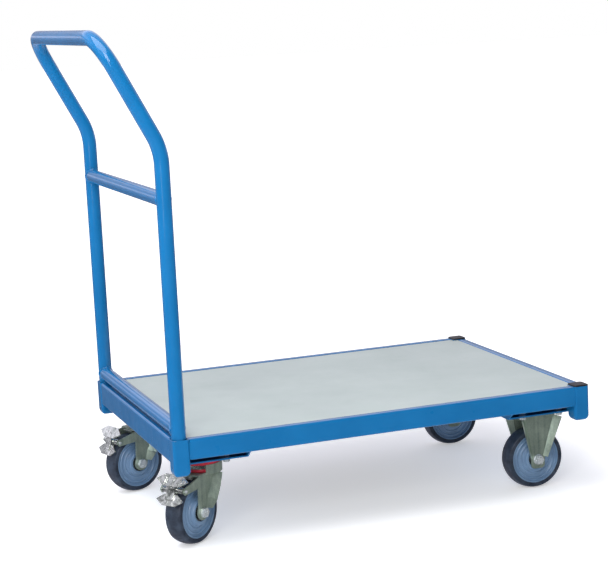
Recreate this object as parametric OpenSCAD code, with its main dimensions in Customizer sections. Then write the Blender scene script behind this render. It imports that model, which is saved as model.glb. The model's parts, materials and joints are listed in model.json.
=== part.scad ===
// Platform cart with a plug-in push handle: a welded deck frame on two braked swivel casters and two
// fixed casters. Millimetres, +Z up. The handle end lies towards -X and the front end towards +X.
// Left is +Y, as seen by someone who pushes the cart.

/* [Deck] */
// Length over the corner posts
deck_l = 860; // [600:10:1400]
// Width over the corner posts
deck_w = 600; // [460:10:900]
// Height of the rails' top above the floor
deck_h = 220; // [210:5:260]
// Height of the side rails
side_rail_h = 40; // [30:1:46]
// Height of the end rails
end_rail_h = 48; // [30:1:56]
// Width of the rails, seen from above
rail_w = 20; // [14:1:30]
// Wall of the rails
rail_wall = 2; // [1:0.5:3]
// Outer corner radius of the rails
rail_r = 5; // [3.5:0.5:6]
// Thickness of the deck board
board_t = 12; // [6:1:18]
// How far the board's top lies below the rails' top
board_drop = 1; // [0:0.5:4]
// Gap round the board
board_gap = 0.5; // [0.2:0.1:2]
// Width of the ledges under the board
ledge_w = 15; // [8:1:25]
// Thickness of the ledges
ledge_t = 3; // [2:0.5:5]

/* [Corner posts] */
// Wall of the square posts
post_wall = 1.8; // [1.5:0.1:4]
// Outer corner radius of the posts
post_r = 5; // [4:0.5:8]
// How far the posts stand proud of the rails' faces
post_proud = 1; // [0.5:0.5:4]
// How far the posts reach below the deck's top
post_l = 70; // [60:1:90]
// Thickness of the domed bottom at its middle
post_floor = 12; // [8:1:16]
// Radius of the domed bottom
dome_r = 23; // [22.5:0.5:40]
// Thickness of the plastic caps
cap_t = 3; // [2:0.5:6]
// Depth of a cap's plug
cap_plug = 14; // [6:1:30]

/* [Push handle] */
// Diameter of the handle's tube
tube_d = 28; // [22:1:34]
// Wall of the handle's tube
tube_wall = 2; // [1.5:0.5:4]
// Clearance between an upright and the walls of its socket
socket_clear = 0.2; // [0.1:0.1:1]
// Height of the grip's centre line
grip_z = 955; // [850:5:1150]
// Height at which the uprights bend back
kink_z = 753; // [650:5:820]
// How far the grip lies behind the uprights
grip_back = 104; // [40:2:180]
// Bend radius where the uprights bend back
kink_r = 120; // [70:5:180]
// Bend radius at the grip's ends
corner_r = 62; // [45:1:90]
// Height of the middle crossbar
middle_bar_z = 662; // [450:5:690]
// Gap between the lower crossbar and the end rail
lower_bar_gap = 4; // [2:0.5:20]

/* [Under frame] */
// Width of the cross channels
channel_w = 136; // [124:1:150]
// Sheet thickness of the cross channels
channel_t = 3; // [2:0.5:5]
// How far the channels' lower ends stop short of the deck's sides
channel_inset = 46; // [34:1:80]
// Clearance between the welded pieces of the frame
weld_clear = 0.2; // [0.1:0.1:0.5]

/* [Casters] */
// Overall height of a caster
caster_h = 160; // [157:1:165]
// Distance of the casters from the deck's sides
caster_inset = 100; // [92:2:200]
// Distance of the swivel axes from the handle end
swivel_x = 79; // [77:1:90]
// Distance of the fixed casters' axles from the front end
fixed_x = 80; // [78:1:90]
// How far a swivel caster's wheel trails behind its swivel axis
trail = 38; // [34:1:44]
// Angle at which the left swivel caster stands, with 0 trailing towards the handle end
turn_left = 19; // [-60:1:60]
// Angle at which the right swivel caster stands
turn_right = 37; // [-60:1:60]
// Length of the caster plates
plate_l = 100; // [94:1:104]
// Width of the caster plates
plate_w = 85; // [80:1:100]
// Thickness of the caster plates
plate_t = 3.5; // [2.5:0.5:5]
// Spacing of the plate screws along the cart
screw_dx = 82; // [80:1:84]
// Spacing of the plate screws across the cart
screw_dy = 66; // [64:1:68]
// Diameter of the plate screws
screw_d = 8; // [6:1:8]
// Sheet thickness of the forks
fork_t = 3; // [2:0.5:4]
// Gap between a fork's legs
fork_gap = 50; // [49:1:56]
// Width of the stiffening flanges along the legs
flange_w = 12; // [6:1:14]
// How far a fixed fork's top sits towards the front end from its axle
fork_lean = 6; // [0:1:7]
// Radius of a leg's lower end
leg_end_r = 15; // [12:1:18]

/* [Wheels] */
// Diameter of the wheels
wheel_d = 125; // [110:1:125]
// Width of the tyres
tyre_w = 36; // [26:1:38]
// Depth of the tyres' rubber
tyre_depth = 11.5; // [6:0.5:14]
// Width of the hubs
hub_w = 46; // [42:1:47]
// Diameter of the axle bolts
axle_d = 12; // [8:1:12]
// Outer diameter of the axle sleeves
sleeve_d = 15; // [14:1:18]
// Outer diameter of the ball bearings
bearing_d = 35; // [30:1:40]
// Width of the ball bearings
bearing_w = 11; // [8:1:13]
// Running clearance on the axle sleeves and king bolts
run_clear = 0.05; // [0.02:0.01:0.1]

/* [Brakes] */
// Width of a pedal's upper wings
upper_wing_w = 74; // [50:1:80]
// Width of a pedal's lower plate
lower_wing_w = 62; // [40:1:70]
// Thickness of the pedal's sheet
pedal_t = 3; // [2:0.5:4]
// Distance of a pedal's pivot from the swivel axis
pedal_u = 88; // [86:1:94]
// Diameter of the pedals' pivot pins
pin_d = 6; // [4:1:8]

/* [Hidden] */
$fn = 64;
left = 1;
right = -1;
eps = 0.01;

// Square posts fit round the handle's tube
post = tube_d + 2 * (socket_clear + post_wall);
post_hole = post - 2 * post_wall;
post_x = post / 2;
post_y = deck_w / 2 - post / 2;
post_bottom = deck_h - post_l;
socket_floor = post_bottom + post_floor;

// The handle hangs over the handle end, so the origin is the middle of deck and overhang together
overhang = grip_back + tube_d / 2 - post_x;
deck_x0 = (overhang - deck_l) / 2;

rail_face = post_proud;
rail_inner = rail_face + rail_w;
board_top = deck_h - board_drop;
ledge_top = board_top - board_t;
ledge_bottom = ledge_top - ledge_t;
side_rail_bottom = deck_h - side_rail_h;

slant = atan2(grip_back, grip_z - kink_z);
slant_l = norm([grip_back, grip_z - kink_z]);
kink_tangent = kink_r * tan(slant / 2);
lower_bar_z = deck_h + lower_bar_gap + tube_d / 2;

channel_x0 = rail_inner + 1;
plate_bottom = caster_h - plate_t;
caster_y = deck_w / 2 - caster_inset;
wheel_r = wheel_d / 2;
rim_r = wheel_r - tyre_depth;
leg_v = fork_gap / 2;
nut_af = 1.42 * axle_d;
washer_r = 0.9 * axle_d;

// Swivel head, stacked below its plate
seal_r = 38;
seal_h = 4.5;
race_h = 10.5;
race_r = 35;
lower_seal_h = 6;
race_top = plate_bottom - seal_h;
race_bottom = race_top - race_h;
crown_top = race_bottom - lower_seal_h;
crown_bottom = crown_top - fork_t - 0.5;
crown_r = 40.5;
ball_d = lower_seal_h - 2 * run_clear;
ball_ring_r = 24;
king_r = 6;

// Brake arm behind the swivel fork, and the shoe above the tyre
arm_z = crown_bottom - 13;
arm_h = 15;
shoe_gap = 1.8;
shoe_seat = 0.3;
shoe_t = crown_bottom - shoe_seat - wheel_d - shoe_gap;
shoe_l = 26;

// Straight length of square tube with rounded corners, lying along +X from the origin
module rail_tube(l, w, h) {
  rotate([90, 0, 90])
    linear_extrude(l)
      difference() {
        round_rect(w, h, rail_r);
        translate([rail_wall, rail_wall])
          round_rect(w - 2 * rail_wall, h - 2 * rail_wall, rail_r - rail_wall);
      }
}

// Rectangle with round corners, with its lower left corner at the origin
module round_rect(w, h, r) {
  translate([r, 0]) square([w - 2 * r, h]);
  translate([0, r]) square([w, h - 2 * r]);
  for (x = [r, w - r], y = [r, h - r])
    translate([x, y]) circle(r);
}

module round_square(w, r) {
  translate([-w / 2, -w / 2]) round_rect(w, w, r);
}

// Everything is drawn in deck coordinates, from the handle end, and then moved to the origin
module placed() {
  translate([deck_x0, 0, 0]) children();
}

module side_rail(side) {
  l = deck_l - 2 * post - 2 * weld_clear;
  y = side > 0 ? deck_w / 2 - rail_inner : -deck_w / 2 + rail_face;
  color("steelblue")
    placed()
      translate([post + weld_clear, y, side_rail_bottom])
        rail_tube(l, rail_w, side_rail_h);
}

module end_rail(x) {
  l = deck_w - 2 * post - 2 * weld_clear;
  color("steelblue")
    placed()
      translate([x + rail_w, -l / 2, deck_h - end_rail_h])
        rotate([0, 0, 90])
          rail_tube(l, rail_w, end_rail_h);
}

// Square socket with a domed, closed bottom
module corner_post(x, side) {
  color("steelblue")
    placed()
      translate([x, side * post_y, 0])
        difference() {
          intersection() {
            translate([0, 0, post_bottom]) linear_extrude(post_l) round_square(post, post_r);
            union() {
              translate([0, 0, post_bottom + dome_r]) sphere(dome_r, $fn = 96);
              translate([0, 0, post_bottom + dome_r]) cylinder(h = post_l, r = dome_r);
            }
          }
          translate([0, 0, socket_floor])
            linear_extrude(post_l) round_square(post_hole, post_r - post_wall);
        }
}

// Cross channel, open at the top. Its outer leg ends between the posts, its inner one at the side rails.
module cross_channel(x, inner) {
  half = deck_w / 2 - channel_inset;
  leg_top = ledge_bottom - weld_clear;
  outer_reach = deck_w / 2 - post - weld_clear;
  inner_reach = deck_w / 2 - rail_inner - weld_clear;
  outer_x = inner > 0 ? 0 : channel_w - channel_t;
  inner_x = inner > 0 ? channel_w - channel_t : 0;
  color("steelblue")
    placed()
      translate([x, 0, caster_h])
        difference() {
          union() {
            translate([0, -half, 0]) cube([channel_w, 2 * half, channel_t]);
            translate([outer_x, 0, 0]) channel_leg(half, outer_reach, leg_top - caster_h);
            translate([inner_x, 0, 0]) channel_leg(half, inner_reach, leg_top - caster_h);
          }
          for (side = [left, right])
            translate([(inner > 0 ? swivel_x : deck_l - fixed_x + fork_lean) - x, side * caster_y, -eps])
              plate_holes(channel_t + 2 * eps);
        }
}

// One leg of a channel, widening upwards from half to reach
module channel_leg(half, reach, h) {
  rise = side_rail_bottom - caster_h;
  rotate([90, 0, 90])
    linear_extrude(channel_t)
      polygon([[-half, 0], [half, 0], [reach, rise], [reach, h], [-reach, h], [-reach, rise]]);
}

module plate_holes(h) {
  for (x = [-1, 1], y = [-1, 1])
    translate([x * screw_dx / 2, y * screw_dy / 2, 0])
      cylinder(h = h, d = screw_d + 1);
}

module side_ledges() {
  middle_y = deck_w / 2 - rail_inner - weld_clear - ledge_w / 2;
  color("steelblue")
    placed()
      for (side = [left, right])
        translate([post + weld_clear, side * middle_y - ledge_w / 2, ledge_bottom])
          cube([deck_l - 2 * post - 2 * weld_clear, ledge_w, ledge_t]);
}

module end_ledges() {
  half = deck_w / 2 - max(rail_inner + ledge_w + weld_clear, post) - weld_clear;
  color("steelblue")
    placed()
      for (x = [rail_inner + weld_clear, deck_l - rail_inner - weld_clear - ledge_w])
        translate([x, -half, ledge_bottom])
          cube([ledge_w, 2 * half, ledge_t]);
}

// Laminate board with its corners notched round the posts
module deck_board() {
  x0 = rail_inner + board_gap;
  y0 = -deck_w / 2 + rail_inner + board_gap;
  notch = post + board_gap;
  color("gainsboro")
    placed()
      difference() {
        translate([x0, y0, ledge_top + eps])
          cube([deck_l - 2 * x0, -2 * y0, board_t - eps]);
        for (x = [0, deck_l - notch], y = [-deck_w / 2, deck_w / 2 - notch])
          translate([x, y, ledge_top - 1])
            cube([notch, notch, board_t + 2]);
      }
}

// Plastic cap with a bevelled top and a plug that fills the free socket
module post_cap(side) {
  plug = post_hole - 0.3;
  color("#222020")
    placed()
      translate([deck_l - post_x, side * post_y, 0]) {
        translate([0, 0, deck_h]) linear_extrude(cap_t) round_square(post, post_r);
        translate([0, 0, deck_h - cap_plug])
          linear_extrude(cap_plug + eps) round_square(plug, post_r - post_wall);
      }
}

// Path of the bent handle tube, filled to radius r from the height foot upwards. Each length's start
// line lies on the outside of the loop, where it meets the next one's.
module handle_path(r, foot) {
  straight_top = kink_z - kink_tangent;
  for (side = [left, right]) {
    translate([post_x, side * post_y, foot])
      rotate([0, 0, side * 90]) cylinder(h = straight_top - foot, r = r);
    translate([post_x - kink_r, side * post_y, straight_top])
      rotate([90, 0, 0])
        rotate_extrude(angle = slant)
          translate([kink_r, 0]) rotate(-side * 90) circle(r);
  }
  translate([post_x, 0, kink_z])
    rotate([0, -slant, 0]) {
      for (side = [left, right]) {
        translate([0, side * post_y, kink_tangent])
          rotate([0, 0, side * 90]) cylinder(h = slant_l - corner_r - kink_tangent, r = r);
        translate([0, side * (post_y - corner_r), slant_l - corner_r])
          rotate([90, 0, 90])
            rotate([0, 0, side > 0 ? 0 : 90])
              rotate_extrude(angle = 90)
                translate([corner_r, 0]) circle(r);
      }
      translate([0, corner_r - post_y, slant_l])
        rotate([-90, 0, 0])
          rotate([0, 0, -90]) cylinder(h = 2 * (post_y - corner_r), r = r);
    }
}

// Its ends stand in the sockets
module handle_tube() {
  color("steelblue")
    placed()
      difference() {
        handle_path(tube_d / 2, socket_floor + weld_clear);
        handle_path(tube_d / 2 - tube_wall, socket_floor - 1);
      }
}

// Crossbar whose ends are coped to sit on the uprights
module crossbar(z) {
  color("steelblue")
    placed()
      translate([post_x, 0, z])
        difference() {
          translate([0, -post_y, 0]) rotate([-90, 0, 0]) cylinder(h = 2 * post_y, d = tube_d);
          translate([0, -post_y - 1, 0])
            rotate([-90, 0, 0]) cylinder(h = 2 * post_y + 2, d = tube_d - 2 * tube_wall);
          for (side = [left, right])
            translate([0, side * post_y, -tube_d])
              cylinder(h = 2 * tube_d, d = tube_d + 2 * weld_clear);
        }
}

// Hexagon prism across the flats, standing on the origin
module hexagon(across, h) {
  cylinder(h = h, d = across / cos(30), $fn = 6);
}

module at_swivel(side) {
  turn = side > 0 ? turn_left : turn_right;
  placed()
    translate([swivel_x, side * caster_y, 0])
      rotate([0, 0, 180 + turn])
        children();
}

module at_fixed(side) {
  placed()
    translate([deck_l - fixed_x, side * caster_y, 0])
      children();
}

// Centres of the four caster plates
module at_plates() {
  for (side = [left, right]) {
    placed() translate([swivel_x, side * caster_y, 0]) children();
    at_fixed(side) translate([fork_lean, 0, 0]) children();
  }
}

module plate_screws() {
  head_h = 0.65 * screw_d;
  color("silver")
    at_plates()
      for (x = [-1, 1], y = [-1, 1])
        translate([x * screw_dx / 2, y * screw_dy / 2, plate_bottom - head_h]) {
          hexagon(1.6 * screw_d, head_h);
          cylinder(h = head_h + plate_t + channel_t + 9, d = screw_d);
        }
}

module plate_nuts() {
  color("silver")
    at_plates()
      for (x = [-1, 1], y = [-1, 1])
        translate([x * screw_dx / 2, y * screw_dy / 2, caster_h + channel_t])
          difference() {
            hexagon(1.6 * screw_d, 0.8 * screw_d);
            translate([0, 0, -1]) cylinder(h = screw_d + 2, d = screw_d + 0.1);
          }
}

// Plate with the raised boss that carries the race
module swivel_plate(side) {
  color("darkkhaki")
    placed()
      translate([swivel_x, side * caster_y, 0])
        difference() {
          union() {
            translate([0, 0, plate_bottom]) linear_extrude(plate_t) caster_plate_outline();
            translate([0, 0, race_top + weld_clear])
              cylinder(h = seal_h - weld_clear + eps, r = seal_r - 8);
          }
          translate([0, 0, plate_bottom - eps]) plate_holes(plate_t + 2 * eps);
          translate([0, 0, race_top - 1]) cylinder(h = seal_h + plate_t + 2, r = king_r + 0.2);
        }
}

module caster_plate_outline() {
  translate([-plate_l / 2, -plate_w / 2]) round_rect(plate_l, plate_w, 8);
}

module king_bolts() {
  color("silver")
    for (side = [left, right])
      placed()
        translate([swivel_x, side * caster_y, crown_bottom - 8.5]) {
          hexagon(19, 8);
          cylinder(h = caster_h - crown_bottom + 8.5 - weld_clear, r = king_r);
        }
}

module race_ring(side) {
  color("gainsboro")
    placed()
      translate([swivel_x, side * caster_y, race_bottom])
        difference() {
          cylinder(h = race_h, r = race_r);
          translate([0, 0, -1]) cylinder(h = race_h + 2, r = king_r + 0.2);
        }
}

// Upper and lower seal, each a separate ring
module seals(side) {
  color("crimson")
    placed()
      translate([swivel_x, side * caster_y, 0]) {
        translate([0, 0, race_top + weld_clear])
          difference() {
            cylinder(h = seal_h - 2 * weld_clear, r = seal_r);
            translate([0, 0, -1]) cylinder(h = seal_h + 2, r = seal_r - 7);
          }
        translate([0, 0, crown_top + weld_clear])
          difference() {
            cylinder(h = lower_seal_h - 2 * weld_clear, r = race_r + 1);
            translate([0, 0, -1]) cylinder(h = lower_seal_h + 2, r = race_r - 6);
          }
      }
}

module swivel_balls() {
  count = 18;
  color("silver")
    placed()
      for (side = [left, right], i = [0:count - 1])
        translate([swivel_x, side * caster_y, crown_top + lower_seal_h / 2])
          rotate([0, 0, i * 360 / count])
            translate([ball_ring_r, 0, 0])
              sphere(d = ball_d, $fn = 24);
}

// Both legs of a fork, as plates whose inner faces are fork_gap apart: straight edges from the top down
// to the end about the axle, which is given
module fork_legs(edge) {
  for (side = [left, right])
    translate([0, side > 0 ? leg_v + fork_t : -leg_v, 0])
      rotate([90, 0, 0])
        linear_extrude(fork_t) {
          polygon(edge);
          children();
        }
}

// Flanges on both legs, along the front edge from a to b and the back edge from c to d
module fork_flanges(pairs) {
  for (side = [left, right], pair = pairs)
    mirror([0, side > 0 ? 0 : 1, 0])
      translate([0, leg_v, 0])
        leg_flange(pair[0], pair[1], pair[2]);
}

// Plate along p to q that leans out of the leg at 45 degrees, towards the given sign of x. Its root
// lies inside the leg's sheet.
module leg_flange(p, q, sign) {
  d = q - p;
  root = fork_t / 2;
  sheet = fork_t * cos(45);
  translate([p[0], 0, p[1]])
    rotate([0, atan2(d[0], d[1]), 0])
      translate([0, 0, -fork_t / 4])
        linear_extrude(norm(d) + fork_t / 2)
          polygon([
            [-sign * root, fork_t / 4], [sign * flange_w, flange_w + root + fork_t / 4],
            [sign * (flange_w - sheet), flange_w + root + sheet + fork_t / 4],
            [-sign * (root + sheet), sheet + fork_t / 4]
          ]);
}

// Everything inside the given side view, right across a fork
module flange_limit(outline) {
  half = leg_v + 3 * flange_w;
  translate([0, half, 0])
    rotate([90, 0, 0])
      linear_extrude(2 * half)
        polygon(outline);
}

module axle_hole(x) {
  translate([x, -fork_gap, wheel_r])
    rotate([-90, 0, 0])
      cylinder(h = 2 * fork_gap, d = axle_d + 0.2);
}

// Fixed fork: plate and two flanged legs in one pressing. The flanges narrow towards the axle.
module fixed_fork(side) {
  top_half = 36;
  end_drop = 3.5;
  edge = [
    [fork_lean - top_half, plate_bottom + plate_t / 2], [-leg_end_r, wheel_r],
    [leg_end_r, wheel_r], [fork_lean + top_half, plate_bottom + plate_t / 2]
  ];
  flange_top = 1 - 8 / (plate_bottom - wheel_r);
  left_top = edge[1] + (edge[0] - edge[1]) * flange_top;
  right_top = edge[2] + (edge[3] - edge[2]) * flange_top;
  color("darkkhaki")
    at_fixed(side)
      difference() {
        union() {
          translate([fork_lean, 0, plate_bottom])
            linear_extrude(plate_t) caster_plate_outline();
          fork_legs(edge)
            translate([-leg_end_r, wheel_r - leg_end_r - end_drop])
              round_rect(2 * leg_end_r, leg_end_r + end_drop + 12, 8);
          intersection() {
            fork_flanges([
              [edge[1] + [0, 6], left_top, -1], [edge[2] + [0, 6], right_top, 1]
            ]);
            flange_limit([
              [left_top[0] - flange_w - 1, plate_bottom], edge[1] - [2, 0], edge[2] + [2, 0],
              [right_top[0] + flange_w + 1, plate_bottom]
            ]);
          }
        }
        translate([fork_lean, 0, plate_bottom - eps]) plate_holes(plate_t + 2 * eps);
        axle_hole(0);
      }
}

// Swivel fork: crown with a skirt that is open towards the pedal, two flanged legs and the brake arms
module swivel_fork(side) {
  edge = [
    [-2, crown_bottom + fork_t / 2], [6, 108], [18, 86], [trail - leg_end_r, wheel_r],
    [trail + leg_end_r - 3, wheel_r + 8], [trail + 10, arm_z - arm_h / 2],
    [pedal_u + 1, arm_z - arm_h / 2 - 3],
    [pedal_u + 6, arm_z - 3], [pedal_u, arm_z + 3],
    [trail + 14, crown_bottom - 1], [trail, crown_bottom + fork_t / 2]
  ];
  color("darkkhaki")
    at_swivel(side)
      difference() {
        union() {
          translate([0, 0, crown_bottom]) cylinder(h = crown_top - crown_bottom, r = crown_r);
          translate([0, -leg_v - fork_t, crown_bottom])
            cube([trail + 8, 2 * (leg_v + fork_t), crown_top - crown_bottom]);
          translate([0, 0, crown_bottom])
            cylinder(h = race_top - 1 - crown_bottom, r = crown_r);
          fork_legs(edge)
            translate([trail, wheel_r]) circle(leg_end_r);
          intersection() {
            fork_flanges([
              [edge[1], edge[0] - [0, fork_t / 2], -1], [edge[2], edge[1], -1],
              [edge[3] + [0, 6], edge[2], -1]
            ]);
            flange_limit([
              [-crown_r, crown_top], [edge[1][0] - 2 * flange_w, edge[1][1]], edge[2] - [flange_w + 5, -8],
              edge[3] - [2, 0], [trail, wheel_r], [trail, crown_top]
            ]);
          }
        }
        translate([0, 0, crown_top]) cylinder(h = seal_h + race_h + lower_seal_h, r = crown_r - fork_t);
        translate([0, 0, crown_top])
          linear_extrude(seal_h + race_h + lower_seal_h)
            polygon([
              [0, 0], 2 * crown_r * [cos(50), -sin(50)], 3 * crown_r * [1, 0],
              2 * crown_r * [cos(50), sin(50)]
            ]);
        translate([0, 0, crown_bottom - 1])
          cylinder(h = 10, r = king_r + run_clear);
        translate([pedal_u, -fork_gap, arm_z - 3])
          rotate([-90, 0, 0]) cylinder(h = 2 * fork_gap, d = pin_d + 0.2);
        axle_hole(trail);
      }
}

// Bolt with its head on the +Y side of the fork, drawn about the axle's middle
module axle_bolt() {
  reach = leg_v + fork_t;
  rotate([90, 0, 0]) {
    translate([0, 0, -reach - 7.5]) hexagon(nut_af, 7.5);
    translate([0, 0, -reach - 7.5]) cylinder(h = 2 * reach + 7.5 + 11, d = axle_d);
  }
}

// Washer and nut on the -Y side, in one
module axle_nut() {
  reach = leg_v + fork_t;
  rotate([90, 0, 0])
    difference() {
      union() {
        translate([0, 0, reach]) cylinder(h = 2, r = washer_r);
        translate([0, 0, reach + 2]) hexagon(nut_af, 7);
      }
      translate([0, 0, reach - 1]) cylinder(h = 20, d = axle_d + 0.1);
    }
}

module axle_sleeve() {
  l = fork_gap - 2 * weld_clear;
  translate([0, l / 2, 0])
    rotate([90, 0, 0])
      difference() {
        cylinder(h = l, d = sleeve_d);
        translate([0, 0, -1]) cylinder(h = l + 2, d = axle_d + 0.2);
      }
}

module at_fixed_axles() {
  for (side = [left, right])
    at_fixed(side) translate([0, 0, wheel_r]) children();
}

// The heads lie on the casters' inner sides and the nuts on their outer sides
module outward(side) {
  mirror([0, side > 0 ? 1 : 0, 0]) children();
}

module fixed_axle_bolts() {
  color("silver")
    for (side = [left, right])
      at_fixed(side) translate([0, 0, wheel_r]) outward(side) axle_bolt();
}

module fixed_axle_nuts() {
  color("silver")
    for (side = [left, right])
      at_fixed(side) translate([0, 0, wheel_r]) outward(side) axle_nut();
}

module fixed_axle_sleeves() {
  color("silver") at_fixed_axles() axle_sleeve();
}

module at_swivel_axle(side) {
  at_swivel(side) translate([trail, 0, wheel_r]) children();
}

module swivel_axle_bolt(side) {
  color("silver") at_swivel_axle(side) axle_bolt();
}

module swivel_axle_nut(side) {
  color("silver") at_swivel_axle(side) axle_nut();
}

module swivel_axle_sleeve(side) {
  color("silver") at_swivel_axle(side) axle_sleeve();
}

// Ring of rubber with a crowned tread, about the Y axis
module tyre() {
  crown = 46;
  color("#20242c")
    rotate([90, 0, 0])
      rotate_extrude($fn = 128)
        intersection() {
          translate([rim_r + run_clear, -tyre_w / 2]) square([tyre_depth, tyre_w]);
          translate([wheel_r - crown, 0]) circle(crown, $fn = 128);
        }
}

// Wheel body: outer ring, recessed disc and hub, bored for the two bearings
module rim() {
  face = tyre_w / 2 - 1;
  disc = face - 2.5;
  hub = hub_w / 2;
  bore = bearing_d / 2 + 0.02;
  inner = hub - 1;
  profile = [
    [sleeve_d / 2 + 3, -inner + bearing_w], [bore, -inner + bearing_w], [bore, -hub],
    [24, -hub], [26, -face], [29, -face], [30, -disc],
    [rim_r - 6, -disc], [rim_r - 5, -face], [rim_r, -face],
    [rim_r, face], [rim_r - 5, face], [rim_r - 6, disc], [30, disc], [29, face], [26, face], [24, hub],
    [bore, hub], [bore, inner - bearing_w], [sleeve_d / 2 + 3, inner - bearing_w]
  ];
  color("slategray")
    rotate([90, 0, 0])
      rotate_extrude($fn = 128)
        polygon(profile);
}

// Two shielded ball bearings
module bearings() {
  color("lightgray")
    for (side = [left, right])
      translate([0, side > 0 ? hub_w / 2 - 1 : -hub_w / 2 + 1 + bearing_w, 0])
        rotate([90, 0, 0])
          difference() {
            cylinder(h = bearing_w - run_clear, d = bearing_d);
            translate([0, 0, -1]) cylinder(h = bearing_w + 2, d = sleeve_d + 2 * run_clear);
          }
}

module wheel_place(end, side) {
  if (end > 0)
    at_fixed(side) translate([0, 0, wheel_r]) children();
  else
    at_swivel_axle(side) children();
}

// Pin through both brake arms and the pedal
module pedal_pin(side) {
  l = 2 * (leg_v + fork_t) + 4;
  color("silver")
    at_swivel(side)
      translate([pedal_u, l / 2, arm_z - 3])
        rotate([90, 0, 0]) cylinder(h = l, d = pin_d);
}

// Pointed plate, symmetric about its middle, with the given half width and height
module wing(half, h) {
  polygon([
    [-half, 0], [-half * 0.5, h / 2], [half * 0.5, h / 2],
    [half, 0], [half * 0.5, -h / 2], [-half * 0.5, -h / 2]
  ]);
}

// Rocker with an upper pair of wings and a lower plate, joined by a neck that turns on the pin
module brake_pedal(side) {
  neck_w = 18;
  hub_half = leg_v - 1;
  color("silver")
    at_swivel(side)
      translate([pedal_u, 0, arm_z - 3])
        difference() {
          union() {
            translate([0, hub_half, 0]) rotate([90, 0, 0]) cylinder(h = 2 * hub_half, d = pin_d + 6);
            translate([2, 0, 19])
              rotate([0, -35, 0])
                rotate([90, 0, 90])
                  linear_extrude(pedal_t, center = true)
                    wing(upper_wing_w / 2, 24);
            translate([14, 0, -16])
              rotate([0, -25, 0])
                rotate([90, 0, 90])
                  linear_extrude(pedal_t, center = true)
                    wing(lower_wing_w / 2, 22);
            translate([0, neck_w / 2, 0])
              rotate([90, 0, 0])
                linear_extrude(neck_w)
                  polygon([
                    [0, -6], [9, -14], [15, -16], [17, -14], [10, 0], [7.5, 13], [3.5, 17.5], [1, 8]
                  ]);
          }
          translate([0, hub_half + 1, 0])
            rotate([90, 0, 0]) cylinder(h = 2 * hub_half + 2, d = pin_d + 2 * run_clear);
        }
}

// Plate between the crown and the tyre
module brake_shoe(side) {
  color("silver")
    at_swivel(side)
      translate([trail - shoe_l / 2, -tyre_w / 2 + 3, wheel_d + shoe_gap])
        cube([shoe_l, tyre_w - 6, shoe_t]);
}

side_rail(left);  // side_rail_left
side_rail(right);  // side_rail_right
end_rail(rail_face);  // end_rail_handle
end_rail(deck_l - rail_inner);  // end_rail_front
corner_post(post_x, left);  // post_handle_left
corner_post(post_x, right);  // post_handle_right
corner_post(deck_l - post_x, left);  // post_front_left
corner_post(deck_l - post_x, right);  // post_front_right
cross_channel(channel_x0, 1);  // channel_handle
cross_channel(deck_l - channel_x0 - channel_w, -1);  // channel_front
side_ledges();
end_ledges();
deck_board();
post_cap(left);  // cap_left
post_cap(right);  // cap_right
plate_screws();
plate_nuts();
king_bolts();
swivel_plate(left);  // swivel_plate_left
swivel_plate(right);  // swivel_plate_right
race_ring(left);  // race_ring_left
race_ring(right);  // race_ring_right
seals(left);  // seals_left
seals(right);  // seals_right
swivel_balls();
fixed_fork(left);  // fixed_fork_left
fixed_fork(right);  // fixed_fork_right
fixed_axle_bolts();
fixed_axle_nuts();
fixed_axle_sleeves();
handle_tube();
crossbar(middle_bar_z);  // handle_middle_bar
crossbar(lower_bar_z);  // handle_lower_bar
swivel_fork(left);  // swivel_fork_left
swivel_fork(right);  // swivel_fork_right
swivel_axle_bolt(left);  // swivel_axle_bolt_left
swivel_axle_bolt(right);  // swivel_axle_bolt_right
swivel_axle_nut(left);  // swivel_axle_nut_left
swivel_axle_nut(right);  // swivel_axle_nut_right
swivel_axle_sleeve(left);  // swivel_axle_sleeve_left
swivel_axle_sleeve(right);  // swivel_axle_sleeve_right
pedal_pin(left);  // pedal_pin_left
pedal_pin(right);  // pedal_pin_right
brake_pedal(left);  // brake_pedal_left
brake_pedal(right);  // brake_pedal_right
brake_shoe(left);  // brake_shoe_left
brake_shoe(right);  // brake_shoe_right
wheel_place(-1, left) tyre();  // tyre_handle_left
wheel_place(-1, right) tyre();  // tyre_handle_right
wheel_place(1, left) tyre();  // tyre_front_left
wheel_place(1, right) tyre();  // tyre_front_right
wheel_place(-1, left) rim();  // rim_handle_left
wheel_place(-1, right) rim();  // rim_handle_right
wheel_place(1, left) rim();  // rim_front_left
wheel_place(1, right) rim();  // rim_front_right
wheel_place(-1, left) bearings();  // bearings_handle_left
wheel_place(-1, right) bearings();  // bearings_handle_right
wheel_place(1, left) bearings();  // bearings_front_left
wheel_place(1, right) bearings();  // bearings_front_right
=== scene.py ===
import json
import math

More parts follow.
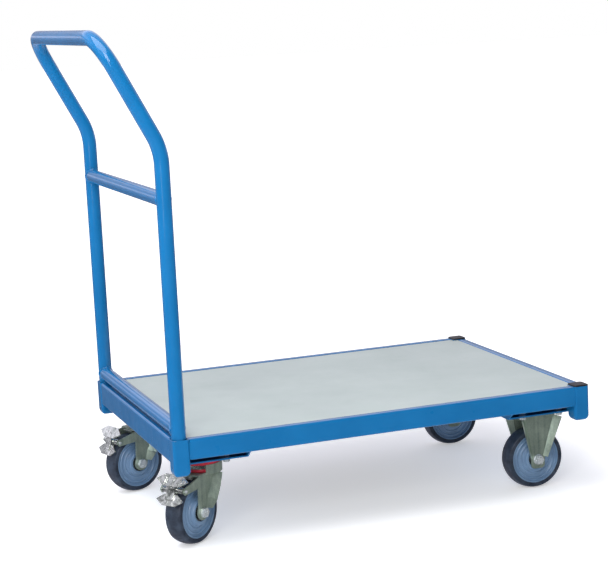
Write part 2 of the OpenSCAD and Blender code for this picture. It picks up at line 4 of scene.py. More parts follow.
import bmesh
import bpy
import numpy as np
from mathutils import Matrix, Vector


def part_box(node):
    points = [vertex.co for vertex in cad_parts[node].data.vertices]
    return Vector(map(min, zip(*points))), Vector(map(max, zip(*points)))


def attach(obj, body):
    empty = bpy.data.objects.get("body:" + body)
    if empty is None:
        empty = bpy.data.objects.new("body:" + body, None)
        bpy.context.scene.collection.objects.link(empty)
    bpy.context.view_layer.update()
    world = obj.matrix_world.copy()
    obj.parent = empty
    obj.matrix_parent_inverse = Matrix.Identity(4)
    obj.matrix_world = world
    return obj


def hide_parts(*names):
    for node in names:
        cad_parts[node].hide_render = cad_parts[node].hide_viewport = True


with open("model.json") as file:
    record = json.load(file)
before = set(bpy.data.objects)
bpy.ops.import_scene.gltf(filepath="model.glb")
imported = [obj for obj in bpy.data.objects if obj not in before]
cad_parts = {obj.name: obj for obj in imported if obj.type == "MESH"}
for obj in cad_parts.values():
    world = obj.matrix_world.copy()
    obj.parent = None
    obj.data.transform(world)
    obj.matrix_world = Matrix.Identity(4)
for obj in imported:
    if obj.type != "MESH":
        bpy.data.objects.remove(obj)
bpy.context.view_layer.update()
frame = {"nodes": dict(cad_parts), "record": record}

scene = bpy.context.scene

# --- Sizes, in metres, that a node's box doesn't give ---

MM = 0.001
TUBE_R = 14 * MM
KINK_HEIGHT = 753 * MM
KINK_BEND = 120 * MM
CORNER_BEND = 62 * MM
RAIL_CORNER = 5 * MM
POST_CORNER = 5 * MM
POST_WALL = 1.8 * MM
POST_FLOOR = 12 * MM
POST_DOME = 11.5 * MM
WHEEL_R = 62.5 * MM
TREAD_HALF = 16.2 * MM
TREAD_CROWN = 46 * MM

# Welded seams between rails and posts: bead, depth below the face, and distance from the rail's edges
SEAM_BEAD = 1.1 * MM
SEAM_DEPTH = 0.6 * MM
SEAM_FOOT = 2 * MM
SEAM_HEAD = 5 * MM

# Seal rings: how far each reaches past the CAD ring's radius, how far it laps the race ring, and its band
SEAL_PROUD = 1.5 * MM
SEAL_INSET = 0.96
UPPER_LAP = 1.8 * MM
LOWER_LAP = 0.8 * MM
SEAL_BAND = 6 * MM

SIDES = {"left": 1, "right": -1}
CASTER_TURNS = {"left": 19, "right": 37}

# Edge rounding of the pressed, turned and cut parts, in millimetres
ROUNDING = {
    "fixed_fork": 0.8, "swivel_fork": 0.8, "swivel_plate": 0.7, "brake_pedal": 0.9, "brake_shoe": 0.5,
    "channel": 0.9, "fixed_axle_bolts": 0.7, "fixed_axle_nuts": 0.7, "swivel_axle_bolt": 0.7,
    "swivel_axle_nut": 0.7, "plate_screws": 0.6, "plate_nuts": 0.6, "king_bolts": 0.7, "race_ring": 0.9,
    "deck_board": 0.4, "end_ledges": 0.4, "side_ledges": 0.4,
}
SHARP_EDGE = 32


# --- Meshes from arrays ---

def linked(name, mesh):
    """Object that holds a mesh, put into the scene."""
    made = bpy.data.objects.new(name, mesh)
    scene.collection.objects.link(made)
    return made


def smooth_but_sharp(mesh, degrees):
    """Shades a mesh smoothly, apart from its edges sharper than the given angle."""
    mesh.polygons.foreach_set("use_smooth", np.ones(len(mesh.polygons), bool))
    mesh.set_sharp_from_angle(angle=math.radians(degrees))


def mesh_object(name, points, quads, lids=(), crease=35):
    """Object from corner points, four-sided faces and flat closing faces. A closed shell whose signed
    volume is negative is turned the right way out. Edges sharper than crease degrees stay sharp."""
    points = np.asarray(points, float).reshape(-1, 3)
    quads = np.asarray(quads, int).reshape(-1, 4)
    corners = points[quads]
    volume = np.einsum("ij,ij->i", corners[:, 0], np.cross(corners[:, 1], corners[:, 2])).sum()
    volume += np.einsum("ij,ij->i", corners[:, 0], np.cross(corners[:, 2], corners[:, 3])).sum()
    if volume < 0:
        quads = quads[:, ::-1]
        lids = [np.asarray(lid)[::-1] for lid in lids]
    loops = np.concatenate([quads.ravel(), *[np.asarray(lid, int) for lid in lids]])
    counts = np.array([4] * len(quads) + [len(lid) for lid in lids])
    starts = np.concatenate([[0], np.cumsum(counts)[:-1]])
    mesh = bpy.data.meshes.new(name)
    mesh.vertices.add(len(points))
    mesh.vertices.foreach_set("co", points.astype(np.float32).ravel())
    mesh.loops.add(len(loops))
    mesh.loops.foreach_set("vertex_index", loops.astype(np.int32))
    mesh.polygons.add(len(counts))
    mesh.polygons.foreach_set("loop_start", starts.astype(np.int32))
    mesh.update(calc_edges=True)
    mesh.validate()
    smooth_but_sharp(mesh, crease)
    return linked(name, mesh)


def grid_quads(rows, columns, ring):
    """Faces of a grid of rows x columns points, numbered row by row. Each row is a closed loop, and in a
    ring the last row joins the first."""
    r = np.arange(rows if ring else rows - 1)[:, None]
    c = np.arange(columns)[None, :]
    r2, c2 = (r + 1) % rows, (c + 1) % columns
    quads = np.stack([r * columns + c, r * columns + c2, r2 * columns + c2, r2 * columns + c], -1)
    return quads.reshape(-1, 4)


def shell(name, grid, ring=False, **how):
    """Closed object from a grid of points (rows, columns, 3) whose rows are closed loops. The first and
    last row are closed with flat faces, unless the rows join end to end in a ring."""
    rows, columns = grid.shape[:2]
    lids = [] if ring else [np.arange(columns)[::-1], (rows - 1) * columns + np.arange(columns)]
    return mesh_object(name, grid.reshape(-1, 3), grid_quads(rows, columns, ring), lids, **how)


def turned(points, degrees):
    """Points turned about Z."""
    a = math.radians(degrees)
    return points @ np.array([[math.cos(a), math.sin(a), 0], [-math.sin(a), math.cos(a), 0], [0, 0, 1]])


def middle(node):
    """Middle of a CAD node's box."""
    low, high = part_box(node)
    return np.array((low + high) / 2)


def circle(steps):
    """Angles of one full turn, without the last."""
    return np.arange(steps) * 2 * np.pi / steps


# --- Shapes ---

def round_rect(width, height, radius, steps=8):
    """Outline of a rectangle with round corners, centred: each corner is an arc of steps + 1 points, with
    a further point just beyond each end so that the flats shade flat."""
    a = np.linspace(0, np.pi / 2, steps + 1)
    hold = min(radius, width / 8, height / 8)
    corners = []
    for k, (sx, sy) in enumerate([(1, 1), (-1, 1), (-1, -1), (1, -1)]):
        t = a + k * np.pi / 2
        centre = np.array([sx * (width / 2 - radius), sy * (height / 2 - radius)])
        bend = centre + radius * np.stack([np.cos(t), np.sin(t)], -1)
        before = bend[0] + hold * np.array([np.sin(t[0]), -np.cos(t[0])])
        after = bend[-1] + hold * np.array([-np.sin(t[-1]), np.cos(t[-1])])
        corners.append(np.vstack([before, bend, after]))
    return np.vstack(corners)


def bar_shell(name, low, high, radius, along, ends=0.4 * MM):
    """Bar with a rounded rectangle section, drawn along one axis: the same outline repeated at four
    stations, the outer two shrunk by the end bevel."""
    low, high = np.array(low), np.array(high)
    across = [k for k in range(3) if k != along]
    width, height = (high - low)[across]
    outline = round_rect(width, height, radius)
    small = round_rect(width - 2 * ends, height - 2 * ends, max(radius - ends, ends))
    stations = [(low[along], small), (low[along] + ends, outline), (high[along] - ends, outline),
                (high[along], small)]
    grid = np.zeros((len(stations), len(outline), 3))
    for k, (at, loop) in enumerate(stations):
        grid[k, :, along] = at
        grid[k][:, across] = (low + high)[across] / 2 + loop
    return shell(name, grid)


def square_stack(name, centre, half, corner, rows):
    """Shell through a stack of squares, each row a half width and a height. A square's corner radius
    shrinks with its width, from corner at the full half width."""
    loops = [round_rect(2 * w, 2 * w, w * corner / half) for w, _ in rows]
    grid = np.zeros((len(rows), len(loops[0]), 3))
    for k, (loop, (_, z)) in enumerate(zip(loops, rows)):
        grid[k, :, :2] = centre[:2] + loop
        grid[k, :, 2] = z
    return shell(name, grid)


def post_shell(name, low, high):
    """Square socket: one closed sheet from the middle of its floor up the inside, over the rim, down the
    outside and under the domed bottom. Over a quarter turn a, the dome drops as sin(a) and its half width
    is the post's times 0.35 + 0.65 cos(a)^0.75."""
    centre = (np.array(low) + np.array(high)) / 2
    half = (high[0] - low[0]) / 2
    inner = half - POST_WALL
    rim = POST_WALL * 0.3
    floor_top, dome_top = low.z + POST_FLOOR, low[2] + POST_DOME
    a = np.linspace(0, np.pi / 2, 13)[1:]
    dome_half = half * (0.35 + 0.65 * np.cos(a) ** 0.75)
    rows = [(inner * 0.05, floor_top), (inner, floor_top), (inner, high[2] - rim), (inner + rim, high[2]),
            (half - rim, high[2]), (half, high[2] - rim), (half, dome_top + 2 * MM), (half, dome_top)]
    rows += list(zip(dome_half, dome_top - POST_DOME * np.sin(a)))
    rows += [(half * 0.2, low[2]), (half * 0.02, low[2])]
    return square_stack(name, centre, half, POST_CORNER, rows)


def cap_shell(name, node, rim_height):
    """Cap over a free socket: a plug inside it, a lip on its rim, and a top with a sloping edge, from rows
    of half width and height."""
    low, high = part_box(node)
    half = (high.x - low.x) / 2
    thick = high.z - rim_height
    rows = [(half * 0.02, low.z), (half - 2.2 * MM, low.z), (half - 2.0 * MM, rim_height),
            (half - 0.3 * MM, rim_height), (half, rim_height + 0.3 * MM), (half, high.z - thick * 0.45),
            (half - thick * 0.2, high.z - thick * 0.12), (half - thick * 0.6, high.z),
            (half * 0.5, high.z), (half * 0.02, high.z)]
    return square_stack(name, middle(node), half, POST_CORNER, rows)


def swept_tube(name, path, radius, around=48):
    """Round tube along a path. Each ring lies in the plane across the path's direction, and its start is
    carried along by projecting the last ring's start, so the tube doesn't twist."""
    path = np.asarray(path, float)
    ahead = np.gradient(path, axis=0)
    ahead /= np.linalg.norm(ahead, axis=1)[:, None]
    aside = [0.3, 0.2, 1.0] if abs(ahead[0][2]) < 0.9 else [0, 1, 0]
    start = np.cross(ahead[0], aside)
    side = [start / np.linalg.norm(start)]
    for d in ahead[1:]:
        s = side[-1] - d * (side[-1] @ d)
        side.append(s / np.linalg.norm(s))
    side = np.array(side)
    up = np.cross(ahead, side)
    t = circle(around)
    grid = path[:, None, :] + radius * (np.cos(t)[None, :, None] * side[:, None, :]
                                        + np.sin(t)[None, :, None] * up[:, None, :])
    return shell(name, grid)


def arc(centre, first, second, start, stop, steps):
    """Points of a circle about centre, from angle start to stop, in the plane of the vectors first and
    second."""
    t = np.radians(np.linspace(start, stop, steps))[:, None]
    return np.array(centre) + np.cos(t) * np.array(first) + np.sin(t) * np.array(second)


def wheel_lathe(name, profile, place, turn, steps=160, **how):
    """Surface of revolution: each (radius, offset) of a closed profile is carried round the Y axis, then
    turned about Z and moved to its place."""
    profile = np.asarray(profile, float)
    t = circle(steps)
    grid = np.stack([profile[:, :1] * np.cos(t), np.repeat(profile[:, 1:], steps, 1),
                     profile[:, :1] * np.sin(t)], -1)
    grid = turned(grid.reshape(-1, 3), turn) + np.array(place)
    return shell(name, grid.reshape(len(profile), steps, 3), ring=True, **how)


def upright_lathe(name, profile, centre, steps=96):
    """Surface of revolution: each (radius, height) of a closed profile is carried round the vertical
    through the centre."""
    u = circle(steps)
    grid = np.zeros((len(profile), steps, 3))
    for k, (r, z) in enumerate(profile):
        grid[k] = np.stack([centre[0] + r * np.cos(u), centre[1] + r * np.sin(u), np.full(steps, z)], -1)
    return shell(name, grid, ring=True)


def rounded_line(points, radius, steps=3):
    """Closed outline with each corner replaced by a quadratic curve that leaves the sides at radius from
    the corner, or at 0.45 of a shorter side."""
    points = np.asarray(points, float)
    before = np.roll(points, 1, 0) - points
    after = np.roll(points, -1, 0) - points
    length_b = np.linalg.norm(before, axis=1)
    length_a = np.linalg.norm(after, axis=1)
    b = points + before / length_b[:, None] * np.minimum(radius, 0.45 * length_b)[:, None]
    a = points + after / length_a[:, None] * np.minimum(radius, 0.45 * length_a)[:, None]
    t = np.linspace(0, 1, steps + 1)[None, :, None]
    curve = (1 - t) ** 2 * b[:, None] + 2 * t * (1 - t) * points[:, None] + t ** 2 * a[:, None]
    return curve.reshape(-1, 2)


def weld_ring(name, bar_end, side, bead=2.2 * MM, ripples=26):
    """Bead where a crossbar meets an upright: a thin torus along y = sqrt(R^2 - r^2 cos^2 t), whose radius
    swells with each ripple."""
    t = circle(180)
    x, z = TUBE_R * np.cos(t), TUBE_R * np.sin(t)
    y = np.sqrt((TUBE_R * 1.03) ** 2 - x ** 2)
    centre = np.stack([x, -side * y, z], -1) + np.array(bar_end)
    out = np.stack([np.cos(t), np.full_like(t, -side * 0.6), np.sin(t)], -1)
    out /= np.linalg.norm(out, axis=1)[:, None]
    along = np.roll(centre, -1, 0) - np.roll(centre, 1, 0)
    along /= np.linalg.norm(along, axis=1)[:, None]
    across = np.cross(along, out)
    radius = bead * (0.85 + 0.2 * np.abs(np.sin(t * ripples / 2)) + 0.08 * np.sin(5 * t + side))
    u = circle(12)
    grid = centre[:, None] + radius[:, None, None] * (np.cos(u)[None, :, None] * out[:, None]
                                                      + np.sin(u)[None, :, None] * across[:, None])
    return shell(name, grid, ring=True)


def weld_line(name, start, stop, bead, pitch=3.5 * MM):
    """Straight bead: a round tube whose radius swells at each ripple and tapers at its ends."""
    start, stop = np.array(start, float), np.array(stop, float)
    length = np.linalg.norm(stop - start)
    s = np.linspace(0, 1, max(int(length / (pitch / 5)), 12))
    ahead = (stop - start) / length
    side = np.cross(ahead, [0.31, 0.87, 0.38])
    side /= np.linalg.norm(side)
    up = np.cross(ahead, side)
    swell = 0.8 + 0.25 * np.abs(np.sin(s * length / pitch * np.pi))
    taper = np.minimum(1, 12 * np.minimum(s, 1 - s) + 0.3)
    u = circle(12)
    grid = (start + s[:, None] * (stop - start))[:, None] + (bead * swell * taper)[:, None, None] * (
        np.cos(u)[None, :, None] * side + np.sin(u)[None, :, None] * up)
    return shell(name, grid)


def softened(node, radius, name):
    """Merged copy of a node's triangles, its flat faces rejoined and its sharp edges rounded to the
    given radius."""
    work = bmesh.new()
    work.from_mesh(frame["nodes"][node].data)
    bmesh.ops.remove_doubles(work, verts=work.verts, dist=2e-6)
    bmesh.ops.dissolve_limit(work, angle_limit=math.radians(0.6), verts=work.verts, edges=work.edges)
    mesh = bpy.data.meshes.new(name)
    work.to_mesh(mesh)
    work.free()
    mesh.materials.clear()
    smooth_but_sharp(mesh, SHARP_EDGE)
    made = linked(name, mesh)
    bevel = made.modifiers.new("edge_rounding", "BEVEL")
    bevel.width, bevel.segments, bevel.limit_method = radius, 2, "ANGLE"
    bevel.angle_limit = math.radians(SHARP_EDGE)
    bevel.use_clamp_overlap = True
    bevel.harden_normals = True
    return made


# --- Materials ---

class Value:
    """A shader socket that can be used in sums: each operator adds the Math node of its name."""

    def __init__(self, nodes, socket):
        self.nodes, self.socket = nodes, socket

    def _math(self, operation, first, second):
        return self.nodes.node("ShaderNodeMath", {"operation": operation}, [first, second])

    def __add__(self, other): return self._math("ADD", self, other)
    def __radd__(self, other): return self._math("ADD", other, self)
    def __mul__(self, other): return self._math("MULTIPLY", self, other)
    def __rmul__(self, other): return self._math("MULTIPLY", other, self)
    def above(self, other): return self._math("GREATER_THAN", self, other)


class Nodes:
    """A node tree under construction, of a material or of the room."""

    def __init__(self, owner):
        owner.use_nodes = True
        self.tree = owner.node_tree
        self.tree.nodes.clear()

    def put(self, made, key, value):
        """Sets a node's socket to a number or colour, or links it to a value."""
        if isinstance(value, Value):
            self.tree.links.new(value.socket, made.inputs[key])
        else:
            made.inputs[key].default_value = value

    def node(self, kind, settings, inputs, output=0):
        """Adds one node: first its settings, then its sockets by name or number."""
        made = self.tree.nodes.new(kind)
        for key, value in settings.items():
            if key == "stops":
                stops = made.color_ramp.elements
                while len(stops) < len(value):
                    stops.new(0.5)
                for stop, (at, colour) in zip(stops, value):
                    stop.position, stop.color = at, colour
            else:
                setattr(made, key, value)
        for key, value in inputs.items() if isinstance(inputs, dict) else enumerate(inputs):
            self.put(made, key, value)
        return Value(self, made.outputs[output])

    def ending(self, kind, shader):
        """Adds the output node and links the shader's socket to it."""
        self.tree.links.new(shader, self.tree.nodes.new(kind).inputs[0])

    def ramp(self, value, *stops):
        """Colour that runs through the stops, each a position and a colour."""
        return self.node("ShaderNodeValToRGB", {"stops": stops}, [value])

    def range(self, value, low, high, new_low, new_high):
        """Carries low..high to new_low..new_high, and holds the ends."""
        return self.node("ShaderNodeMapRange", {}, [value, low, high, new_low, new_high])


class Finish(Nodes):
    """A material under construction, with its surface shader and its Object coordinates."""

    def __init__(self, name, **sockets):
        self.material = bpy.data.materials.new(name)
        super().__init__(self.material)
        self.shader = self.tree.nodes.new("ShaderNodeBsdfPrincipled")
        self.ending("ShaderNodeOutputMaterial", self.shader.outputs[0])
        self.place = self.node("ShaderNodeTexCoord", {}, {}, "Object")
        for socket, value in sockets.items():
            self.feed(socket.replace("_", " "), value)

    def feed(self, socket, value):
        """Sets or links one of the surface shader's sockets."""
        self.put(self.shader, socket, value)

    def noise(self, scale, detail=3, roughness=0.55, stretch=None):
        """Cloud noise on Object coordinates, drawn out where stretch is below 1."""
        place = self.place
        if stretch:
            place = self.node("ShaderNodeMapping", {}, {"Vector": place, "Scale": stretch})
        return self.node("ShaderNodeTexNoise", {}, {"Vector": place, "Scale": scale, "Detail": detail,
                                                    "Roughness": roughness})

    def mix(self, amount, first, second):
        """Mixes two colours."""
        return self.node("ShaderNodeMix", {"data_type": "RGBA"}, {0: amount, 6: first, 7: second}, 2)

    def shade(self, pattern, dark, light, start=0.3, stop=0.7):
        """Surface colour from dark to light as the pattern goes from start to stop."""
        self.feed("Base Color", self.ramp(pattern, (start, rgb(*dark)), (stop, rgb(*light))))

    def dull(self, pattern, low, high):
        """Roughness from low to high over the usual span of a noise."""
        self.feed("Roughness", self.range(pattern, 0.3, 0.7, low, high))

    def bump(self, height, depth, strength):
        """Relief of the given depth, in metres for a height of 1."""
        relief = self.node("ShaderNodeBump", {}, {"Strength": strength, "Distance": depth, "Height": height})
        self.feed("Normal", relief)


def rgb(red, green, blue):
    """Linear colour from 0-255 display values."""
    c = np.array([red, green, blue]) / 255
    return (*np.where(c <= 0.04045, c / 12.92, ((c + 0.055) / 1.055) ** 2.4).tolist(), 1.0)


def grey(level):
    """Linear grey."""
    return level, level, level, 1


def blue_enamel():
    """Stoved enamel: slight mottling, orange peel, and faint dulling where hands and loads rub."""
    f = Finish("blue_enamel", Coat_Weight=1.0, Coat_Roughness=0.1, Specular_IOR_Level=0.1)
    f.shade(f.noise(9, 4), (10, 101, 157), (18, 110, 168))
    f.dull(f.noise(38, 5), 0.27, 0.42)
    f.bump(f.noise(620, 2) * 0.7 + f.noise(160, 2) * 1.2, 0.00006, 0.5)
    return f.material


def laminate():
    """Pale grey melamine with a faint cloud and speckle; the board's edge below its top face is painted
    near-black, a painted shadow of the gap between board and frame.
    """
    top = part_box("deck_board")[1].z
    f = Finish("laminate", Specular_IOR_Level=0.45)
    speck = f.noise(900, 2)
    face = f.ramp(f.noise(5, 4), (0.3, rgb(180, 192, 187)), (0.7, rgb(190, 201, 196)))
    face = f.mix(f.range(speck, 0.62, 0.75, 0, 0.12), face, rgb(140, 150, 148))
    height = f.node("ShaderNodeSeparateXYZ", {}, [f.place], "Z")
    # Below the top face the edge is near-black: painted shade of the gap around the board.
    f.feed("Base Color", f.mix(height.above(top - 0.4 * MM), rgb(48, 50, 50), face))
    f.dull(f.noise(14, 4), 0.32, 0.46)
    f.bump(speck * 0.6 + f.noise(300, 3), 0.00004, 0.4)
    return f.material


def black_plastic():
    """Near-black moulding with a fine spark-eroded grain."""
    f = Finish("black_plastic", Specular_IOR_Level=0.4)
    grain = f.noise(1500, 2)
    f.shade(f.noise(60, 3), (26, 23, 22), (38, 33, 31))
    f.dull(grain, 0.42, 0.6)
    f.bump(grain, 0.00006, 0.5)
    return f.material


def zinc(name, light, dark, rough=(0.28, 0.5), metallic=0.6):
    """Passivated zinc plate: cloudy colour with small crystals and upright drawn streaks."""
    f = Finish(name, Metallic=metallic)
    crystal = f.node("ShaderNodeTexVoronoi", {}, {"Vector": f.place, "Scale": 420.0})
    streak = f.noise(110, 3, 0.6, (1, 1, 0.07))
    f.shade(f.noise(45, 5, 0.6) * 0.35 + crystal * 0.12 + streak * 0.55, dark, light, 0.32, 0.68)
    f.dull(f.noise(120, 4), *rough)
    f.bump(f.noise(700, 2, 0.6, (1, 1, 0.15)), 0.00005, 0.5)
    return f.material


def crinkled_zinc():
    """Bright zinc on a rough pressing: mirror patches broken by soft dents a few millimetres across."""
    f = Finish("bright_zinc", Metallic=0.95)
    f.shade(f.noise(70, 4), (176, 182, 176), (232, 234, 228))
    f.dull(f.noise(160, 4), 0.1, 0.26)
    f.bump(f.noise(48, 1.5) + f.noise(150, 2) * 0.12, 0.006, 0.9)
    return f.material


def red_seal():
    """Red moulded rubber with a slight sheen."""
    f = Finish("red_seal", Coat_Weight=0.3, Coat_Roughness=0.15)
    f.shade(f.noise(90, 3), (176, 20, 44), (204, 30, 54))
    f.dull(f.noise(300, 2), 0.3, 0.45)
    f.bump(f.noise(1200, 2), 0.00004, 0.4)
    return f.material


def tyre_rubber():
    """Dark blue-black rubber with mould texture, lightened in patches towards blue-grey as a painted sheen."""
    f = Finish("tyre_rubber", Specular_IOR_Level=0.55)
    # Light stop raised to blue-grey: painted sheen of the tread, spread in noise patches.
    f.shade(f.noise(55, 5, 0.65), (30, 39, 55), (62, 76, 94), 0.35, 0.75)
    f.dull(f.noise(150, 4), 0.42, 0.62)
    f.bump(f.noise(900, 3), 0.0001, 0.5)
    return f.material


def hub_plastic():
    """Blue-grey moulded nylon, faintly mottled, with fine flow grain."""
    f = Finish("hub_plastic", Specular_IOR_Level=0.5, Coat_Weight=0.5, Coat_Roughness=0.12)
    f.shade(f.noise(28, 4), (98, 126, 156), (116, 146, 178))
    f.dull(f.noise(180, 3), 0.34, 0.48)
    f.bump(f.noise(800, 2), 0.00006, 0.4)
    return f.material


def bearing_steel():
    """Ground steel with faint stains."""
    f = Finish("bearing_steel", Metallic=1.0)
    f.shade(f.noise(150, 3), (150, 152, 156), (190, 192, 195))
    f.dull(f.noise(600, 3), 0.2, 0.36)
    f.bump(f.noise(1500, 2), 0.00003, 0.4)
    return f.material


finishes = {
    "blue_paint": blue_enamel(),
    "laminate": laminate(),
    "black_plastic": black_plastic(),
    "fastener_zinc": zinc("fastener_zinc", (236, 240, 240), (190, 200, 204), (0.18, 0.34), 0.45),
    "plate_zinc": zinc("plate_zinc", (184, 198, 180), (122, 138, 128)),
    "bright_zinc": crinkled_zinc(),
    "red_seal": red_seal(),
    "bearing_steel": bearing_steel(),
    "tyre_rubber": tyre_rubber(),
    "hub_plastic": hub_plastic(),
}
record = frame["record"]
node_slots = {part["node"]: part["material_slot"] for part in record["subparts"]}
node_bodies = {node: body for body, nodes in record["behaviour"]["bodies"].items() for node in nodes}
for node, thing in frame["nodes"].items():
    thing.data.materials.clear()
    thing.data.materials.append(finishes[node_slots[node]])


def place_piece(piece, body, slot, *nodes):
    """Gives a new piece its finish and its body, and hides the CAD nodes that it stands for."""
    piece.data.materials.append(finishes[slot])
    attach(piece, body)
    if nodes:
        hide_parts(*nodes)


# --- Deck frame ---

def place_rail(node, along):
    """Square-section rail in place of a node."""
    place_piece(bar_shell(f"{node}_tube", *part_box(node), RAIL_CORNER, along), "cart", "blue_paint", node)


def place_seam(name, x, y, low, high):
    """Upright bead where a rail's end meets a post, between the rail's rounded edges."""
    seam = weld_line(name, (x, y, low.z + SEAM_FOOT), (x, y, high.z - SEAM_HEAD), SEAM_BEAD)
    place_piece(seam, "cart", "blue_paint")


for side in SIDES:
    place_rail(f"side_rail_{side}", along=0)
for end, sx in [("handle", -1), ("front", 1)]:
    place_rail(f"end_rail_{end}", along=1)
    end_low, end_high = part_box(f"end_rail_{end}")
    for side, sy in SIDES.items():
        node = f"post_{end}_{side}"
        place_piece(post_shell(f"{node}_socket", *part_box(node)), "cart", "blue_paint", node)
        rail_low, rail_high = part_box(f"side_rail_{side}")
        rail_x = rail_high.x if sx > 0 else rail_low.x
        face_y = (rail_high.y if sy > 0 else rail_low.y) - sy * SEAM_DEPTH
        place_seam(f"weld_side_{end}_{side}", rail_x, face_y, rail_low, rail_high)
        face_x = (end_high.x if sx > 0 else end_low.x) - sx * SEAM_DEPTH
        end_y = end_high.y if sy > 0 else end_low.y
        place_seam(f"weld_end_{end}_{side}", face_x, end_y, end_low, end_high)

# --- Push handle ---

upright_x, upright_y = middle("post_handle_left")[:2]
tube_low, tube_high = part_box("handle_tube")
grip_x, grip_z = tube_low.x + TUBE_R, tube_high.z - TUBE_R
slant = math.atan2(upright_x - grip_x, grip_z - KINK_HEIGHT)
slant_length = math.hypot(upright_x - grip_x, grip_z - KINK_HEIGHT)
lean = np.array([-math.sin(slant), 0, math.cos(slant)])
kink = np.array([upright_x, 0, KINK_HEIGHT])
tangent = KINK_BEND * math.tan(slant / 2)


def handle_half(sy):
    """Centre line of one half of the handle, from its foot to the grip: straight, a bend of the kink's
    radius in the X-Z plane, straight along the slant, and a quarter turn in the slanted plane."""
    y = np.array([0, sy * upright_y, 0])
    foot = np.array([upright_x, sy * upright_y, tube_low.z])
    bend = arc(kink + y + [-KINK_BEND, 0, -tangent], [KINK_BEND, 0, 0], [0, 0, KINK_BEND], 0,
               math.degrees(slant), 13)
    corner_at = kink + y + lean * (slant_length - CORNER_BEND) - [0, sy * CORNER_BEND, 0]
    corner = arc(corner_at, [0, sy * CORNER_BEND, 0], lean * CORNER_BEND, 0, 90, 17)
    straight = foot + np.linspace(0, 1, 8)[:-1, None] * (bend[0] - foot)
    rise = bend[-1] + np.linspace(0, 1, 5)[1:-1, None] * (corner[0] - bend[-1])
    return np.vstack([straight, bend, rise, corner])


left_half, right_half = handle_half(1), handle_half(-1)
grip = np.linspace(left_half[-1], right_half[-1], 12)[1:-1]
loop_path = np.vstack([left_half, grip, right_half[::-1]])
place_piece(swept_tube("handle_loop", loop_path, TUBE_R), "push_handle", "blue_paint", "handle_tube")
for node in ["handle_middle_bar", "handle_lower_bar"]:
    at = middle(node)
    half = upright_y - TUBE_R * 0.35
    line = np.linspace([at[0], -half, at[2]], [at[0], half, at[2]], 12)
    place_piece(swept_tube(f"{node}_tube", line, TUBE_R), "push_handle", "blue_paint", node)
    for side, sy in SIDES.items():
        ring = weld_ring(f"weld_{node}_{side}", (at[0], sy * upright_y, at[2]), sy)
        place_piece(ring, "push_handle", "blue_paint")

# --- Caps ---

deck_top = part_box("post_front_left")[1].z
for side in SIDES:
    node = f"cap_{side}"
    place_piece(cap_shell(f"{node}_plug", node, deck_top), "cart", "black_plastic", node)

# --- Pressed, turned and cut parts: softened copies of the exact ones ---

for node in list(frame["nodes"]):
    kind = next((k for k in ROUNDING if node.startswith(k)), None)
    if kind:
        piece = softened(node, ROUNDING[kind] * MM, f"{node}_finished")
        place_piece(piece, node_bodies[node], node_slots[node], node)


# --- Seals: two lipped rings to each swivel head ---

def seal_profile(bottom, top, reach):
    """Closed section of a seal, radius against height: half an ellipse for the lip, 0.6 as deep as it is
    half tall, and a flat band behind it."""
    t = np.radians(np.linspace(-90, 90, 9))
    mid, tall = (bottom + top) / 2, (top - bottom) / 2
    lip = [(reach - tall * 0.6 + tall * 0.6 * math.cos(a), mid + tall * math.sin(a)) for a in t]
    return lip + [(reach - SEAL_BAND, top), (reach - SEAL_BAND, bottom)]


for side in SIDES:
    node = f"seals_{side}"
    low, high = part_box(node)
    ring_low, ring_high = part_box(f"race_ring_{side}")
    outer = (high.x - low.x) / 2
    upper = seal_profile(ring_high.z - UPPER_LAP, high.z, outer + SEAL_PROUD)
    lower = seal_profile(low.z, ring_low.z + LOWER_LAP, outer * SEAL_INSET)
    place_piece(upright_lathe(f"{node}_upper", upper, middle(node)), node_bodies[node], "red_seal", node)
    place_piece(upright_lathe(f"{node}_lower", lower, middle(node)), node_bodies[node], "red_seal")


# --- Wheels ---

def tyre_profile():
    """Tyre section, radius against offset: the tread is an arc of radius TREAD_CROWN, and each sidewall
    has a shoulder and a shallow groove."""
    offset = np.linspace(-1, 1, 33) * TREAD_HALF
    tread = WHEEL_R - TREAD_CROWN + np.sqrt(TREAD_CROWN ** 2 - offset ** 2)
    wall = np.array([[58.2, 17.3], [56.6, 17.9], [55.4, 18.0], [55.0, 17.6], [54.2, 17.6], [53.8, 18.0],
                     [51.6, 18.0], [51.05, 17.4]]) * MM
    return np.vstack([wall[::-1] * [1, -1], np.stack([tread, offset], -1), wall])


def rim_profile():
    """Half of the wheel body's section, from the outer ring inwards: concentric steps down to a recessed
    disc, a raised ring about the bearing, and the bearing's seat; the other half is its mirror image."""
    half = np.array([
        [51.0, 17.0], [50.6, 17.6], [48.8, 17.6], [48.2, 17.0], [47.4, 14.2], [46.0, 13.4], [44.2, 13.4],
        [43.2, 14.6], [42.2, 15.4], [41.0, 15.4], [40.0, 14.2], [38.6, 13.2], [35.0, 12.9], [33.6, 13.8],
        [32.6, 14.9], [31.2, 14.9], [30.2, 13.9], [29.2, 14.4], [28.2, 16.6], [26.6, 17.2], [25.4, 17.6],
        [24.8, 20.6], [23.8, 22.5], [22.6, 23.0], [18.6, 23.0], [17.6, 22.4], [17.6, 8.0],
    ]) * MM
    return rounded_line(np.vstack([half, (half * [1, -1])[::-1]]), 0.5 * MM)


for end in ["handle", "front"]:
    for side in SIDES:
        tyre, rim, body = (f"{part}_{end}_{side}" for part in ("tyre", "rim", "wheel"))
        turn = 0 if end == "front" else 180 + CASTER_TURNS[side]
        place = middle(tyre)
        place[2] = WHEEL_R
        tread = wheel_lathe(f"{tyre}_tread", tyre_profile(), place, turn)
        place_piece(tread, body, "tyre_rubber", tyre)
        wheel_body = wheel_lathe(f"{rim}_body", rim_profile(), place, turn, crease=60)
        place_piece(wheel_body, body, "hub_plastic", rim)
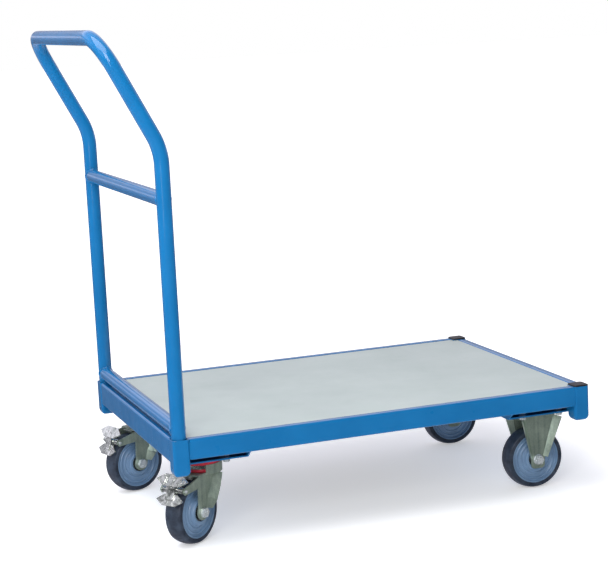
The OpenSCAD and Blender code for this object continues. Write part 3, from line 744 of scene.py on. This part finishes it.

# --- Floor: pale and glowing, dimmer near the cart as painted shade and brighter with distance ---

FLOOR_HALF = 30
floor_mesh = bpy.data.meshes.new("studio_floor")
floor_corners = [(x * FLOOR_HALF, y * FLOOR_HALF, 0) for x, y in [(-1, -1), (1, -1), (1, 1), (-1, 1)]]
floor_mesh.from_pydata(floor_corners, [], [(0, 1, 2, 3)])
floor = linked("studio_floor", floor_mesh)
paint = Finish("studio_floor_surface", Base_Color=grey(0.9), Roughness=0.9, Specular_IOR_Level=0.1,
               Emission_Strength=1.0)
# The floor glows at 0.42 near the cart and up to 1.0 from 2.4 m out: painted shade under and around the cart.
away = paint.node("ShaderNodeVectorMath", {"operation": "LENGTH"}, [paint.place], "Value")
glow_with_painted_shade = paint.range(away, 0.5, 2.4, 0.42, 1.0)
paint.feed("Emission Color", paint.ramp(glow_with_painted_shade, (0, grey(0)), (1, grey(1))))
floor_mesh.materials.append(paint.material)
floor.visible_glossy = False


# --- Lights ---

def matrix_of(right, up, back, place):
    """Placement from three directions and a point."""
    return Matrix([[right[k], up[k], back[k], place[k]] for k in range(3)] + [[0, 0, 0, 1]])


def soft_light(name, place, aim, width, height, power, colour=(1, 1, 1)):
    """Area light that looks from its place to its aim."""
    lamp = bpy.data.lights.new(name, "AREA")
    lamp.shape = "RECTANGLE"
    lamp.size, lamp.size_y, lamp.energy, lamp.color = width, height, power, colour
    place, aim = np.array(place, float), np.array(aim, float)
    back = (place - aim) / np.linalg.norm(place - aim)
    right = np.cross([0, 0.01, 1], back)
    right /= np.linalg.norm(right)
    linked(name, lamp).matrix_world = matrix_of(right, np.cross(back, right), back, place)


soft_light("overhead_soft", (-1.0, -0.7, 2.3), (-0.3, 0, 0.2), 2.0, 1.8, 46)
soft_light("front_soft", (-2.0, -3.6, 2.4), (-0.3, 0, 0.3), 2.0, 1.8, 66)
soft_light("strip_soft", (-2.5, -3.3, 1.3), (-0.3, -0.2, 0.6), 0.22, 2.4, 12)
soft_light("handle_side_soft", (-3.4, -1.4, 1.8), (-0.3, 0, 0.5), 1.8, 1.6, 8, (0.94, 0.93, 1.0))

# --- Room: white to the camera, and in reflections pale beyond the cart, dim before it, with level bands ---

BANDS = [(0.31, 0.6), (0.335, 0.5), (0.37, 0.12), (0.44, 0.22), (0.5, 0.42), (0.53, 1.2), (0.565, 0.35),
         (0.61, 0.45), (0.655, 1.5), (0.68, 1.5), (0.8, 0.9)]

scene.world = bpy.data.worlds.new("studio")
room = Nodes(scene.world)
direction = room.node("ShaderNodeTexCoord", {}, {}, "Generated")
depth, height = (room.range(room.node("ShaderNodeSeparateXYZ", {}, [direction], axis), -1, 1, 0, 1)
                 for axis in "YZ")
tint = room.ramp(depth, (0.35, (0.1, 0.11, 0.13, 1)), (0.5, (0.3, 0.31, 0.34, 1)), (0.72, (0.8, 0.78, 0.9, 1)))
level = room.ramp(height, *[(at, grey(strength)) for at, strength in BANDS])
reflected = room.node("ShaderNodeBackground", {}, {"Color": tint, "Strength": level})
backdrop = room.node("ShaderNodeBackground", {}, {"Color": grey(1)})
seen = room.node("ShaderNodeLightPath", {}, {}, "Is Camera Ray")
both = room.node("ShaderNodeMixShader", {}, [seen, reflected, backdrop])
room.ending("ShaderNodeOutputWorld", both.socket)

# --- Camera ---

LENS, SENSOR = 101.46, 36
AZIMUTH, ELEVATION, ROLL = (math.radians(a) for a in (-19.62, 9.25, -2.82))
AIM_BEHIND_POST, AIM_HEIGHT, DISTANCE = 0.37606, 0.43314, 3.4958

camera = bpy.data.cameras.new("camera")
camera.lens, camera.sensor_width, camera.sensor_fit = LENS, SENSOR, "HORIZONTAL"
camera.clip_start, camera.clip_end = 0.05, 100
back = np.array([math.sin(AZIMUTH) * math.cos(ELEVATION), -math.cos(AZIMUTH) * math.cos(ELEVATION),
                 math.sin(ELEVATION)])
level_right = np.array([math.cos(AZIMUTH), math.sin(AZIMUTH), 0])
level_up = np.cross(back, level_right)
right = math.cos(ROLL) * level_right + math.sin(ROLL) * level_up
up = -math.sin(ROLL) * level_right + math.cos(ROLL) * level_up
aim = np.array([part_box("post_handle_left")[0].x + AIM_BEHIND_POST, 0, AIM_HEIGHT])
scene.camera = linked("camera", camera)
scene.camera.matrix_world = matrix_of(right, up, back, aim + back * DISTANCE)
scene.view_settings.view_transform = "Standard"
